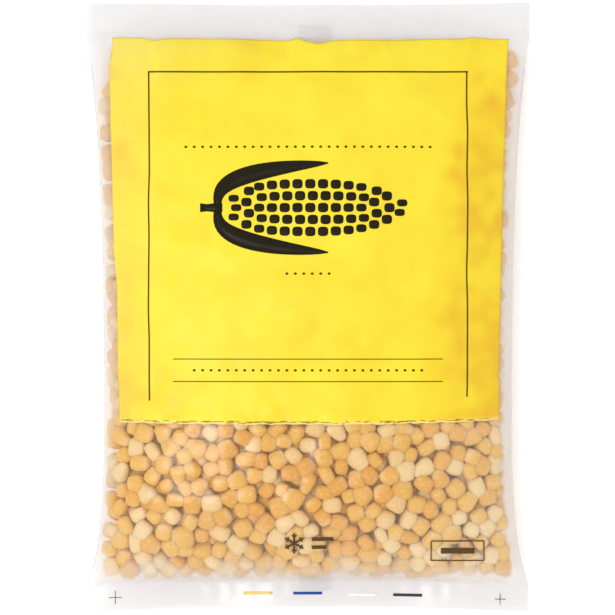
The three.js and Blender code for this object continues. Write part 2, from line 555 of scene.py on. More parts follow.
drape = {
    "sag": 2.2,    # how far the film may sink between kernels
    "passes": 16,
    "clearance": 0.16,
    "nothing": -99,    # height where no kernel is met
    "edgeFade": 7,    # body height over which the drape sets in
    "flatUnder": 0.3,    # and under which there is none
    "panelPasses": 26,    # the printed part lies smoother
    "panelRim": (2, 8),
    "dipPasses": 6,
    "gapPasses": 14,
    "gapMost": 12,
}
panel = {
    "left": -79.6,
    "right": 79.8,
    "top": 109.4,
    "bottom": -46.2,
    "bottomBow": 0.9,
    "rightRise": 1.2,    # its lower edge climbs to the right
    "cell": 0.9,
    "lift": 0.16,
    "thickness": 0.07,
    "topWave": 0.55,
    "topWavePitch": 17,
    "topBumps": [(-62.5, -1.1, 3.6), (-5.0, 1.5, 2.4), (66.0, 0.9, 5.0), (3.5, -0.9, 3.0), (8, -0.7, 26)],
    "sideWave": 0.5,
    "sideWavePitch": 23,
    "leftOut": 1.8,    # the print is wider over the upper half
    "leftOutFrom": (6, 24),
    "leftOutTo": (95, 107),
    "rightOut": 1.4,
    "rightOutFrom": (0, 26),
    "leftIn": 1.1,    # and its lower left corner is drawn in
    "leftInFrom": (22, 40),
    "ragged": 0.28,
    "raggedPitch": 1.7,
    "fringe": 1.1,
    "sideShade": (0.42, 0.78),    # painted shade where the film turns down, left and right, partly the ink's own deeper tone over the corn
    "sideShadeFrom": (62, 40),
    "sideShadeUneven": (0.8, 0.3, 17, 0.3),    # of the painted side shade: level, spread, pitch and how long its clouds are
    "cornerShadeCut": 0.7,    # share by which the painted shade is less in the top right corner
    "cornerFrom": (76, 98),
    "lowDeep": 0.12,
    "lowest": 40,
    "bumpShade": 0.5,    # painted shade where the film dips between kernels and painted light on its lumps, up to a limit
    "bumpShadeMost": 0.25,
    "milky": 0.34,    # paler ink at the left margin and the corner above it
    "milkyFrom": 50,
    "cornerMilk": (80, 10, 70),
}


def widened(field):
    padded = np.pad(field, 1, mode="edge")
    shifted = [padded[i:i + field.shape[0], j:j + field.shape[1]] for i in range(3) for j in range(3)]
    return np.max(shifted, axis=0)


def riseOver(hits, base, outward):
    rise = (hits - base) * outward
    return widened(np.where(np.isfinite(rise), rise, drape["nothing"])) + drape["clearance"]


def drapeFilm(hits, base, outward):
    body = np.abs(base - foldAt(cellX, cellY))
    fade = np.clip(body / drape["edgeFade"], 0, 1)
    obstacle = np.maximum(riseOver(hits, base, outward), -drape["sag"] * fade)
    obstacle = np.where(fade > 0, obstacle, 0)
    relief = obstacle
    for _ in range(drape["passes"]):
        relief = np.maximum(blurred(relief, 1), obstacle)
    return relief


def insidePanel(x, y):
    sideRoom = np.minimum(x - panel["left"], panel["right"] - x)
    endRoom = np.minimum(y - panel["bottom"], panel["top"] - y)
    return np.minimum(sideRoom, endRoom)


# Creases of the film, each from one point of the bag to another, with height and half width
creases = [
    ((-88, 106), (-83, 84), 0.9, 1.4),
    ((-84, 109), (-76, 97), 0.7, 1.1),
    ((86, 108), (82, 88), 0.9, 1.3),
    ((80, 110), (72, 99), 0.6, 1.0),
    ((-62, 110), (-60, 92), 0.8, 1.6),
    ((-5, 110), (-7, 95), 0.9, 1.2),
    ((66, 110), (63, 93), 0.8, 1.8),
    ((30, 110), (33, 101), 0.5, 1.2),
    ((87, -112), (80, -96), 0.9, 1.3),
    ((78, -112), (70, -103), 0.7, 1.0),
    ((-85, -110), (-80, -99), 0.6, 1.2),
    ((-70, -112), (-62, -104), 0.6, 1.0),
    ((-11, -111), (4, -101), 0.9, 1.0),
    ((6, -112), (14, -103), 0.7, 0.9),
    ((-38, -112), (-33, -105), 0.6, 0.9),
    ((44, -112), (38, -104), 0.7, 0.9),
    ((60, -112), (57, -105), 0.5, 0.8),
]
wrinkle = {
    "creaseStart": 0.06,    # share of its height that a crease has at its first end
    "creaseFullness": 0.7,
    "finePitch": 9.0,    # gathers beside the seals
    "fineRise": 0.22,
    "fineReach": 7.0,
    "fineWaver": 2.2,
    "fineWaverPitch": 13,
    "edgeRise": 0.16,    # long shallow creases beside the side folds
    "edgePitch": 3.2,
    "edgeReach": 9.0,
    "edgeStart": 2.5,
    "edgeLong": 0.12,    # less is longer, and 1 as long as wide
    "finRise": 0.16,
    "finPitch": 7,
    "finLong": 0.35,
    "finFade": 4,
    "ridgeRise": 0.3,    # swollen edge of each weld
    "ridgeHalf": 1.3,
    "rim": 2,    # width over which everything fades at the side folds
}


def rimAt(x, y):
    return np.clip((halfWidthAt(y) - np.abs(x)) / wrinkle["rim"], 0, 1)


def finAt(y):
    return 1 - np.clip(fillAt(y) * wrinkle["finFade"], 0, 1)


def creaseAt(x, y):
    total = np.zeros_like(np.asarray(x, dtype=float))
    for start, end, rise, half in creases:
        way = np.subtract(end, start)
        share = ((x - start[0]) * way[0] + (y - start[1]) * way[1]) / (way @ way)
        held = np.clip(share, 0, 1)
        away = np.hypot(x - start[0] - held * way[0], y - start[1] - held * way[1])
        along = np.clip(blend(wrinkle["creaseStart"], 1, held), 0, 1)
        fade = np.sin(np.pi * along) ** wrinkle["creaseFullness"]
        total = np.maximum(total, rise * fade * np.exp(-(away / half) ** 2))
    return total


def wrinkleAt(x, y):
    fromWeld = np.minimum(np.abs(topWeld - y), np.abs(y - bottomWeld))
    waver = wrinkle["fineWaver"] * smoothNoise(x, y, wrinkle["fineWaverPitch"], 5)
    fine = (1 + np.sin(turns(x, wrinkle["finePitch"]) + waver)) / 2
    seal = wrinkle["fineRise"] * fine * np.exp(-(fromWeld / wrinkle["fineReach"]) ** 2)
    fromSide = halfWidthAt(y) - np.abs(x)
    long = smoothNoise(x, y * wrinkle["edgeLong"], wrinkle["edgePitch"], 6)
    side = wrinkle["edgeRise"] * (1 + long) / 2 * np.exp(-(fromSide / wrinkle["edgeReach"]) ** 2)
    side = side * np.clip(fromSide / wrinkle["edgeStart"], 0, 1)
    fin = wrinkle["finRise"] * smoothNoise(x * wrinkle["finLong"], y, wrinkle["finPitch"], 7) * finAt(y)
    ridge = wrinkle["ridgeRise"] * np.exp(-(fromWeld / wrinkle["ridgeHalf"]) ** 2)
    return creaseAt(x, y) + seal + side + fin + ridge


print("packing the kernels")
kernels = buildKernels()
kernelTree = treeOf(kernels)
frontBase, backBase = frontAt(cellX, cellY), backAt(cellX, cellY)
frontRelief = drapeFilm(castGrid(kernelTree, 1), frontBase, 1)
backRelief = drapeFilm(castGrid(kernelTree, -1), backBase, -1)

print("taking out the kernels that no side shows")

hidden = {
    "insidePrint": 8,    # under the print, this far from its edge
    "underPrint": 14,    # and less than this below the front
    "insideFold": 20,    # or in the middle, this far from the side folds
    "underFront": 13,    # and more than this below the front
    "overBack": 12,    # and either way this far above the back
    "tuckedBy": 1.2,
}


def isHidden(kernel):
    x, y, z = kernel["centre"]
    underPrint = kernel["gap"] < hidden["underPrint"] and insidePanel(x, y) > hidden["insidePrint"]
    deep = kernel["gap"] > hidden["underFront"] and halfWidthAt(y) - abs(x) > hidden["insideFold"]
    return z - backAt(x, y) > hidden["overBack"] and (underPrint or deep)


def tuckUnder(kernel):
    # Under the print only the back shows a kernel, so the smooth front may press it down
    x, y, z = kernel["points"].T
    if insidePanel(*kernel["centre"][:2]) > hidden["insidePrint"]:
        z[:] = np.minimum(z, frontAt(x, y) + sampleGrid(softRelief, x, y) - hidden["tuckedBy"])


kernels = [kernel for kernel in kernels if not isHidden(kernel)]
softRelief = blurred(frontRelief, drape["panelPasses"])
for kernel in kernels:
    tuckUnder(kernel)
keptHits = castGrid(treeOf(kernels), 1)
smoother = easeIn(insidePanel(cellX, cellY), *drape["panelRim"])
# the film's lumps and dips under the print, for the ink's painted light and shade
printBumpShade = blurred(frontRelief, drape["dipPasses"]) - softRelief
frontRelief = blend(frontRelief, softRelief, smoother)
frontRelief = np.maximum(frontRelief, riseOver(keptHits, frontBase, 1))
frontRelief = np.where(np.abs(frontBase - foldAt(cellX, cellY)) > drape["flatUnder"], frontRelief, 0)
kernelTops = np.where(np.isfinite(keptHits), keptHits, drape["nothing"])
kernelGap = np.clip(frontBase + frontRelief - kernelTops, 0, drape["gapMost"])
kernelGap = blurred(kernelGap, drape["gapPasses"])

# The lengthwise weld on the back, a fin folded flat
seam = {
    "middle": 3.0,
    "width": 13.0,
    "fade": 3,
    "room": 0.22,    # between the table and the film, for the fin
    "under": 0.08,
    "thickness": 0.1,
    "intoWeld": 0.4,    # share of each end weld that it runs into
    "haze": 0.5,
    "ribs": 1.6,
    "ribHaze": 0.15,
    "columns": 8,
    "rows": 280,
}


def seamAt(x):
    fromEdge = np.abs(x - seam["middle"]) - seam["width"] / 2
    return seam["room"] * (1 - easeIn(fromEdge, 0, seam["fade"]))


def frontSurface(x, y):
    return frontAt(x, y) + (sampleGrid(frontRelief, x, y) + wrinkleAt(x, y)) * rimAt(x, y)


def backSurface(x, y):
    fin = wrinkleAt(x, y) * finAt(y)
    free = backAt(x, y) + (fin - sampleGrid(backRelief, x, y)) * rimAt(x, y)
    return np.maximum(seamAt(x) + floorGap, free)


def layOn(mesh, surface, lift):
    p, q, _ = pointsOf(mesh).T
    x = acrossAt(p, q)
    placed = np.stack([x, alongAt(p, q), surface(x, q) + lift], axis=1)
    setPoints(mesh, placed * mm)
    return x, q


# Film

film = {
    "cell": 1.2,
    "mergeWithin": 0.02,
    "sharpFold": 100,    # degrees at which the front's and the back's shading part
    "touchHaze": 0.20,    # milkiness where the film lies on the corn
    "clearHaze": 0.62,    # and where it stands clear of it
    "clearFrom": (4.0, 8.5),
    "backHaze": 0.2,
    "backDull": 0.6,    # share of the folds' dullness on the back
    "weldHaze": 0.60,
    "weldFade": 8,
    "weldRipple": 0.1,
    "ripplePitch": 4.5,
    "rippleLong": 0.35,
    "weldReach": 7.5,    # how far from a seal the film is still dull
    "foldReach": 5.0,
    "besidePanel": 9.0,    # added to it beside the print
    "panelStart": (-8, 10),    # around the print's lower edge
    "dullness": 0.78,
    "patchiness": 0.5,
    "patchPitch": 6.5,
    "milk": "#EBE9EA",
    "cornLightColour": "#E9BF86",    # painted corn light: its colour where it lies on the corn, painted in for the corn's light that it scatters
    "dullWhite": 1.3,    # how soon dull film is white again
    "besideCornLight": 0.45,    # share of painted corn light beside the print, where corn is near
    "besideFrom": (1.5, 6),
    "cornNear": (6, 11.5),
    "tintSpread": 60,
    "cornLightFadeRight": 0.6,    # the painted corn light fades to the right and at the bottom
    "cornLightFadeRightFrom": (25, 70),
    "cornLightFadeLow": 0.45,
    "cornLightFadeLowFrom": (78, 92),
    "through": 0.4,    # share of the milk's light that goes on through the film
    "roughness": 0.2,
    "index": 1.34,
}


def filmMaterial():
    # Polyethylene film, blown: clear with a little milk in it, softly glossy, whiter where it stands off,
    # with painted corn light in its milk where it lies on the corn
    material = newMaterial("polyethylene film")
    haze = addNode(material, "Attribute", {"attribute_name": "haze"})
    cornLight = addNode(material, "Attribute", {"attribute_name": "cornLight"})
    tint = addNode(material, "ValToRGB", links={"Fac": cornLight.outputs["Fac"]},
                   stops=[(0, film["milk"]), (1, film["cornLightColour"])])
    milk = addNode(material, "BsdfDiffuse", links={"Color": tint.outputs["Color"]})
    through = addNode(material, "BsdfTranslucent", links={"Color": tint.outputs["Color"]})
    cloud = addNode(material, "MixShader", {0: film["through"]},
                    {1: milk.outputs[0], 2: through.outputs[0]})
    clear = addNode(material, "BsdfTransparent", {"Color": (1, 1, 1, 1)})
    body = addNode(material, "MixShader",
                   links={0: haze.outputs["Fac"], 1: clear.outputs[0], 2: cloud.outputs[0]})
    gloss = addNode(material, "BsdfGlossy", {"Roughness": film["roughness"], "Color": (1, 1, 1, 1)})
    inside = addNode(material, "NewGeometry").outputs["Backfacing"]
    index = addNode(material, "MapRange", {"To Min": film["index"], "To Max": 1 / film["index"]},
                    {"Value": inside})
    edge = addNode(material, "Fresnel", links={"IOR": index.outputs[0]})
    skin = addNode(material, "MixShader",
                   links={0: edge.outputs[0], 1: body.outputs[0], 2: gloss.outputs[0]})
    return finishMaterial(material, skin)


def flatGrid(name, columns, rows):
    bm = bmesh.new()
    bmesh.ops.create_grid(bm, x_segments=columns, y_segments=rows, size=1)
    return meshOf(bm, name)


def filmSheet():
    columns, rows = round(bag["topWidth"] / film["cell"]), round(bag["length"] / film["cell"])
    mesh = flatGrid("film", columns, rows)
    setPoints(mesh, pointsOf(mesh) * (flatWidth, bag["length"] / 2, 0))
    return mesh


# How milky the film is at each point, front and back, and the share of painted corn light in its colour
def filmLooks(x, q):
    weld = np.clip(1 - fillAt(q) * film["weldFade"], 0, 1)
    clear = easeIn(sampleGrid(kernelGap, x, q), *film["clearFrom"])
    fromWeld = np.minimum(topWeld - q, q - bottomWeld)
    fromFold = halfWidthAt(q) - np.abs(x)
    atPanel = easeIn(q - panel["bottom"], *film["panelStart"])
    drift = 1 + film["patchiness"] * smoothNoise(x, q, film["patchPitch"], 8)
    nearWeld = np.exp(-(fromWeld / film["weldReach"] / drift) ** 2)
    nearFold = np.exp(-(fromFold / (film["foldReach"] + film["besidePanel"] * atPanel) / drift) ** 2)
    dull = np.maximum(nearWeld, nearFold)
    frontHaze = blend(film["touchHaze"], film["clearHaze"], clear)
    frontHaze = blend(frontHaze, film["clearHaze"], film["dullness"] * dull)
    ripple = film["weldRipple"] * smoothNoise(x * film["rippleLong"], q, film["ripplePitch"], 16)
    frontHaze = blend(frontHaze, film["weldHaze"] + ripple, weld)
    backHaze = blend(film["backHaze"], film["clearHaze"], film["backDull"] * film["dullness"] * nearFold)
    backHaze = blend(backHaze, film["weldHaze"], weld)
    around = sampleGrid(blurred(kernelGap, film["tintSpread"]), x, q)
    beside = film["besideCornLight"] * atPanel * easeIn(fromFold, *film["besideFrom"])
    beside = beside * (1 - easeIn(around, *film["cornNear"]))
    onCorn = 1 - np.clip(film["dullWhite"] * dull, 0, 1)
    # less painted corn light to the right and at the bottom
    cornLightKept = 1 - film["cornLightFadeRight"] * easeIn(x, *film["cornLightFadeRightFrom"])
    cornLightKept = cornLightKept * (1 - film["cornLightFadeLow"] * easeIn(-q, *film["cornLightFadeLowFrom"]))
    # painted corn light: the milk takes the corn's colour where the film lies on the corn
    frontCornLight = np.maximum(beside, onCorn * (1 - clear) * cornLightKept) * (1 - weld)
    return frontHaze, frontCornLight, backHaze, onCorn * (1 - weld)


def buildFilm():
    front = filmSheet()
    back = front.copy()
    x, q = layOn(front, frontSurface, 0)
    layOn(back, backSurface, 0)
    frontHaze, frontCornLight, backHaze, backCornLight = filmLooks(x, q)
    for mesh, haze, cornLight in ((front, frontHaze, frontCornLight), (back, backHaze, backCornLight)):
        pointValues(mesh, "haze", haze)
        pointValues(mesh, "cornLight", cornLight)
    bm = bmesh.new()
    bm.from_mesh(back)
    bmesh.ops.reverse_faces(bm, faces=bm.faces[:])
    bm.from_mesh(front)
    rimPoints = [vertex for vertex in bm.verts if vertex.is_boundary]
    for vertex in rimPoints:
        vertex.co.z = float(foldAt(vertex.co.x / mm, vertex.co.y / mm)) * mm
    bmesh.ops.remove_doubles(bm, verts=rimPoints, dist=film["mergeWithin"] * mm)
    for edge in bm.edges:
        edge.smooth = edge.calc_face_angle(0) < math.radians(film["sharpFold"])
    finishPiece("film", meshOf(bm, "film"), filmMaterial())


def buildSeam():
    mesh = flatGrid("back_seam", seam["columns"], seam["rows"])
    flat = pointsOf(mesh)
    low = bottomWeld - seam["intoWeld"] * bag["bottomSeal"]
    high = topWeld + seam["intoWeld"] * bag["topSeal"]
    p = seam["middle"] + flat[:, 0] * seam["width"] / 2
    setPoints(mesh, np.stack([p, blend(low, high, (flat[:, 1] + 1) / 2), 0 * p], axis=1))
    q = layOn(mesh, backSurface, -seam["under"])[1]
    pointValues(mesh, "haze", seam["haze"] + seam["ribHaze"] * np.sign(np.sin(turns(q, seam["ribs"]))))
    pointValues(mesh, "cornLight", 0 * q)
    thicken(finishPiece("back_seam", mesh, filmMaterial()), seam["thickness"])


print("draping the film")
buildFilm()


# Corn

cornTones = {
    "kernels_golden": {"share": 0.56, "body": "#E3B045", "light": "#E8BB5C", "tip": "#EDCC8C"},
    "kernels_amber": {"share": 0.18, "body": "#E0A53D", "light": "#E4B04F", "tip": "#EAC27C"},
    "kernels_pale": {"share": 0.26, "body": "#E8C98A", "light": "#EDD3A0", "tip": "#F1DDB4"},
}
cornSkin = {
    "mottle": 2.6,
    "mottleShare": 0.5,
    "toneRange": (0.2, 1.3),    # of a kernel's own tone and the mottle together
    "paintedSideLight": 1.1,    # painted light: the kernels at the sides are painted lighter
    "sideFrom": (30, 78),
    "frost": 1.2,    # grain of the frost, where it starts and how much of it there is
    "frostFrom": (0.5, 0.72),
    "frostShare": 0.34,
    "frostColour": "#F4E6CC",
    "index": 1.42,
    "roughness": 0.55,
    "specular": 0.3,
    "subsurface": 0.35,
    "scatter": (1.0, 0.55, 0.2),
    "softness": 2.6,
}


def cornMaterial(name, tone):
    # Frozen sweetcorn: waxy yolk-yellow skin, paler towards the cut end, a breath of frost
    material = newMaterial(name)
    place = addNode(material, "TexCoord").outputs["Object"]
    pale = addNode(material, "Attribute", {"attribute_name": "pale"}).outputs["Fac"]
    own = addNode(material, "Attribute", {"attribute_name": "tone"}).outputs["Fac"]
    mottle = addNode(material, "TexNoise", {"Scale": 1 / (cornSkin["mottle"] * mm), "Detail": 2.0},
                     {"Vector": place}).outputs["Fac"]
    grain = addNode(material, "TexNoise", {"Scale": 1 / (cornSkin["frost"] * mm), "Detail": 3.0},
                    {"Vector": place}).outputs["Fac"]
    mixed = addNode(material, "Math", {"operation": "MULTIPLY_ADD", 1: cornSkin["mottleShare"]},
                    {0: mottle, 2: own})
    low, high = cornSkin["toneRange"]
    spread = addNode(material, "MapRange", {"From Min": low, "From Max": high},
                     {"Value": mixed.outputs[0]})
    skin = addNode(material, "ValToRGB", links={"Fac": spread.outputs[0]},
                   stops=[(0, tone["body"]), (1, tone["light"])])
    tipped = addNode(material, "Mix", {"data_type": "RGBA", 7: linearColour(tone["tip"])},
                     {0: pale, 6: skin.outputs["Color"]})
    low, high = cornSkin["frostFrom"]
    frost = addNode(material, "MapRange",
                    {"From Min": low, "From Max": high, "To Max": cornSkin["frostShare"]}, {"Value": grain})
    frosted = addNode(material, "Mix",
                      {"data_type": "RGBA", 7: linearColour(cornSkin["frostColour"])},
                      {0: frost.outputs[0], 6: tipped.outputs[2]})
    surface = addNode(material, "BsdfPrincipled",
                      {"Roughness": cornSkin["roughness"], "IOR": cornSkin["index"],
                       "Specular IOR Level": cornSkin["specular"],
                       "Subsurface Weight": cornSkin["subsurface"], "Subsurface Radius": cornSkin["scatter"],
                       "Subsurface Scale": cornSkin["softness"] * mm},
                      {"Base Color": frosted.outputs[2]})
    return finishMaterial(material, surface)


def buildCorn():
    chance = np.random.default_rng(packing["seed"] + 2)
    names = list(cornTones)
    shares = np.array([cornTones[name]["share"] for name in names])
    picks = chance.choice(len(names), len(kernels), p=shares / shares.sum())
    for index, name in enumerate(names):
        chosen = [kernel for kernel, pick in zip(kernels, picks) if pick == index]
        points, faces = joined(chosen)
        points[:, 1] = alongAt(points[:, 0], points[:, 1])
        tone = []
        for kernel in chosen:
            # painted light: kernels towards the side folds get a lighter tone
            atSide = float(easeIn(abs(kernel["centre"][0]), *cornSkin["sideFrom"]))
            tone.append(np.full(len(kernel["pale"]), kernel["tone"] + cornSkin["paintedSideLight"] * atSide))
        mesh = bpy.data.meshes.new(name)
        mesh.from_pydata((points * mm).tolist(), [], faces)
        pointValues(mesh, "pale", np.concatenate([kernel["pale"] for kernel in chosen]))
        pointValues(mesh, "tone", np.concatenate(tone))
        finishPiece(name, mesh, cornMaterial(name, cornTones[name]))
        print(name, len(chosen), "kernels")


print("filling in the corn")
buildCorn()


core = {
    "side": 0.80,    # share of the bag's half width
    "bottom": -98,
    "top": 92,
    "underFront": 12.5,
    "overBack": 8,
    "thinnest": 1.0,
    "power": 6,
    "cuts": 23,
    "bump": 1.2,
    "bumpPitch": 8,
    "colours": [(0.3, "#F7AC52"), (0.7, "#FCC674")],
}


def coreMaterial():
    # The corn deep in the bag, which only shows as warm shade between the kernels
    material = newMaterial("corn in shade")
    place = addNode(material, "TexCoord").outputs["Object"]
    noise = addNode(material, "TexNoise", {"Scale": 1 / (core["bumpPitch"] * mm)},
                    {"Vector": place})
    colour = addNode(material, "ValToRGB", links={"Fac": noise.outputs["Fac"]},
                     stops=core["colours"])
    surface = addNode(material, "BsdfPrincipled", {"Roughness": 0.6},
                      {"Base Color": colour.outputs["Color"]})
    return finishMaterial(material, surface)


def buildCore():
    bm = dividedCube(core["cuts"])
    for vertex in bm.verts:
        u, v, w = roundedOff(vertex.co, core["power"])
        y = blend(core["bottom"], core["top"], (v + 1) / 2)
        x = u * core["side"] * float(halfWidthAt(y))
        low, high = float(backAt(x, y)) + core["overBack"], float(frontAt(x, y)) - core["underFront"]
        middle, half = (low + high) / 2, max(core["thinnest"], (high - low) / 2)
        lump = core["bump"] * float(smoothNoise(x, y, core["bumpPitch"], 9))
        vertex.co = (x * mm, y * mm, (middle + w * half + lump) * mm)
    finishPiece("core", meshOf(bm, "core"), coreMaterial())


buildCore()


# Print: everything is drawn on the flat film, in its own p and q, and then laid on the bag

# Points along a strip, and how a hand-drawn one wavers
strip = {"step": 1.4, "waverPitch": 14, "waverApart": 7.3}
ink = {
    "dark": 0.86,    # the darkest and lightest parts of its grain, against its own colour
    "light": 1.1,
    "lightest": 0.004,
    "grain": 1.2,
    "roughness": 0.36,
    "index": 1.5,
    "specular": 0.12,
    "thickness": 0.05,
}


def addRibbon(bm, path, widths):
    made = bmesh.ops.create_grid(bm, x_segments=2, y_segments=len(path) - 1, size=1)
    for vertex in made["verts"]:
        place = round((vertex.co.y + 1) / 2 * (len(path) - 1))
        way = np.subtract(path[min(place + 1, len(path) - 1)], path[max(place - 1, 0)])
        aside = -vertex.co.x * widths[place] / 2 / np.hypot(*way)
        vertex.co = (path[place][0] - way[1] * aside, path[place][1] + way[0] * aside, 0)


def addStrip(bm, start, end, width, wobble=0.0, seed=0):
    way = np.subtract(end, start)
    length = float(np.hypot(*way))
    steps = max(2, round(length / strip["step"]))
    path = [np.add(start, way * share) for share in np.linspace(0, 1, steps)]
    if wobble:
        aside = wobble * np.array([-way[1], way[0]]) / length
        noise = [smoothNoise(place @ way / length, strip["waverApart"] * seed, strip["waverPitch"], seed)
                 for place in path]
        path = [place + aside * waver for place, waver in zip(path, noise)]
    addRibbon(bm, path, [width] * len(path))


def addPatch(bm, centre, halfWidth, halfHeight, power, turn=0.0, cells=4):
    made = bmesh.ops.create_grid(bm, x_segments=cells, y_segments=cells, size=1)
    for vertex in made["verts"]:
        u, v = vertex.co.x, vertex.co.y
        norm = (abs(u) ** power + abs(v) ** power) ** (1 / power) or 1
        inwards = max(abs(u), abs(v)) / norm
        across, along = u * inwards * halfWidth, v * inwards * halfHeight
        p = centre[0] + across * math.cos(turn) - along * math.sin(turn)
        q = centre[1] + across * math.sin(turn) + along * math.cos(turn)
        vertex.co = (p, q, 0)


def faceUp(mesh):
    if mesh.polygons and sum(polygon.normal.z for polygon in mesh.polygons) < 0:
        mesh.flip_normals()


def thicken(piece, thickness):
    solid = piece.modifiers.new("thickness", "SOLIDIFY")
    solid.thickness = thickness * mm
    solid.offset = -1


def inkMaterial(name, code):
    # Flexographic ink under the film's skin: flat colour with the film's own soft gloss
    material = newMaterial(name)
    place = addNode(material, "TexCoord").outputs["Object"]
    grain = addNode(material, "TexNoise", {"Scale": 1 / (ink["grain"] * mm), "Detail": 3.0},
                    {"Vector": place})
    plain = linearColour(code)[:3]
    dark = [part * ink["dark"] for part in plain] + [1.0]
    light = [min(1, part * ink["light"] + ink["lightest"]) for part in plain] + [1.0]
    colour = addNode(material, "Mix", {"data_type": "RGBA", 6: dark, 7: light},
                     {0: grain.outputs["Fac"]})
    surface = addNode(material, "BsdfPrincipled",
                      {"Roughness": ink["roughness"], "IOR": ink["index"],
                       "Specular IOR Level": ink["specular"]}, {"Base Color": colour.outputs[2]})
    return finishMaterial(material, surface)


def inkPiece(name, bm, code, lift, thickness=ink["thickness"]):
    mesh = meshOf(bm, name)
    layOn(mesh, frontSurface, lift)
    faceUp(mesh)
    thicken(finishPiece(name, mesh, inkMaterial(name.replace("_", " "), code)), thickness)


yellow = {
    "tones": [(0, "#E6B92A"), (0.25, "#EED02E"), (0.5, "#F0D934"), (0.78, "#F3DF3C")],    # deep to light
    "cloud": 22,
    "shadeShare": 0.8,
    "milky": "#E9D870",
    "fringe": "#F6D98A",
    "specular": 0.2,
}


def yellowMaterial():
    # Opaque yellow ink: even, with painted shade where the film dips between kernels and where it turns down
    # at the sides, painted light on the film's lumps, pale at the ragged end
    material = newMaterial("yellow ink")
    place = addNode(material, "TexCoord").outputs["Object"]
    under, milky, fringe = [addNode(material, "Attribute", {"attribute_name": name}).outputs["Fac"]
                            for name in ("under", "milky", "fringe")]
    cloud = addNode(material, "TexNoise", {"Scale": 1 / (yellow["cloud"] * mm), "Detail": 2.0},
                    {"Vector": place})
    mixed = addNode(material, "Math", {"operation": "MULTIPLY_ADD", 1: yellow["shadeShare"]},
                    {0: under, 2: cloud.outputs["Fac"]})
    tone = addNode(material, "ValToRGB", links={"Fac": mixed.outputs[0]}, stops=yellow["tones"])
    dulled = addNode(material, "Mix", {"data_type": "RGBA", 7: linearColour(yellow["milky"])},
                     {0: milky, 6: tone.outputs["Color"]})
    ended = addNode(material, "Mix", {"data_type": "RGBA", 7: linearColour(yellow["fringe"])},
                    {0: fringe, 6: dulled.outputs[2]})
    surface = addNode(material, "BsdfPrincipled",
                      {"Roughness": ink["roughness"], "IOR": ink["index"],
                       "Specular IOR Level": yellow["specular"]}, {"Base Color": ended.outputs[2]})
    return finishMaterial(material, surface)


def panelEdges(p, q):
    top = panel["top"] + panel["topWave"] * smoothNoise(p, 0 * p, panel["topWavePitch"], 11)
    for place, rise, half in panel["topBumps"]:
        top = top + rise * np.exp(-((p - place) / half) ** 2)
    across = p / flatWidth
    bottom = panel["bottom"] - panel["bottomBow"] * (1 - across ** 2)
    bottom = bottom + panel["rightRise"] * np.clip(across, 0, 1) ** 2
    bottom = bottom + panel["ragged"] * smoothNoise(p, 0 * p, panel["raggedPitch"], 12)
    left = panel["left"] + panel["sideWave"] * smoothNoise(q, 0 * q, panel["sideWavePitch"], 13)
    out = easeIn(q, *panel["leftOutFrom"]) * (1 - easeIn(q, *panel["leftOutTo"]))
    left = left - panel["leftOut"] * out + panel["leftIn"] * easeIn(-q, *panel["leftInFrom"])
    right = panel["right"] + panel["sideWave"] * smoothNoise(q, 0 * q, panel["sideWavePitch"], 14)
    right = right + panel["rightOut"] * easeIn(q, *panel["rightOutFrom"])
    return left, right, bottom, top


# How much the ink is painted darker and lighter at each point, mostly painted light and shade, and how much
# paler
def panelLooks(x, q):
    # painted shade where the film turns down at the left and at the right
    leftShade = panel["sideShade"][0] * easeIn(-x, panel["sideShadeFrom"][0], -panel["left"])
    rightShade = panel["sideShade"][1] * easeIn(x, panel["sideShadeFrom"][1], panel["right"])
    rightShade = rightShade * (1 - panel["cornerShadeCut"] * easeIn(q, *panel["cornerFrom"]))
    uneven, spread, pitch, long = panel["sideShadeUneven"]
    darker = (leftShade + rightShade) * (uneven + spread * smoothNoise(x, long * q, pitch, 15))
    darker = darker + panel["lowDeep"] * easeIn(-q, 0, panel["lowest"])
    # painted shade in the dips between kernels, painted light on the lumps
    bumpShading = np.clip(sampleGrid(printBumpShade, x, q) * panel["bumpShade"], -panel["bumpShadeMost"], panel["bumpShadeMost"])
    beside = panel["milky"] * easeIn(-x, panel["milkyFrom"], -panel["left"])
    cornerLow, cornerIn, cornerOut = panel["cornerMilk"]
    corner = panel["milky"] * easeIn(q, cornerLow, panel["top"]) * easeIn(-x, cornerIn, cornerOut)
    return bumpShading - darker, np.clip(beside + corner, 0, 1)


def buildPanel():
    columns = round((panel["right"] - panel["left"]) / panel["cell"])
    rows = round((panel["top"] - panel["bottom"]) / panel["cell"])
    mesh = flatGrid("print_yellow", columns, rows)
    u, v = ((pointsOf(mesh)[:, :2] + 1) / 2).T
    p, q = blend(panel["left"], panel["right"], u), blend(panel["bottom"], panel["top"], v)
    left, right, bottom, top = panelEdges(p, q)
    p, q = blend(left, right, u), blend(bottom, top, v)
    setPoints(mesh, np.stack([p, q, 0 * p], axis=1))
    pointValues(mesh, "fringe", 1 - easeIn(q - bottom, panel["fringe"] / 2, panel["fringe"]))
    x, q = layOn(mesh, frontSurface, panel["lift"])
    # under holds the ink's painted shade and light, milky its paler parts
    under, milky = panelLooks(x, q)
    pointValues(mesh, "under", under)
    pointValues(mesh, "milky", milky)
    thicken(finishPiece("print_yellow", mesh, yellowMaterial()), panel["thickness"])


print("printing the panel")
buildPanel()
buildSeam()


lines = {
    "left": -64.6,
    "right": 64.6,
    "top": 95.4,
    "leftEnd": -37.6,
    "rightEnd": -36.0,
    "width": 0.62,
    "wobble": 0.35,
    "ruleHalf": 54.5,
    "upperRule": -20.8,
    "lowerRule": -29.8,
    "ruleWidth": 0.36,
    "lift": 0.24,
    "ink": "#544404",
}


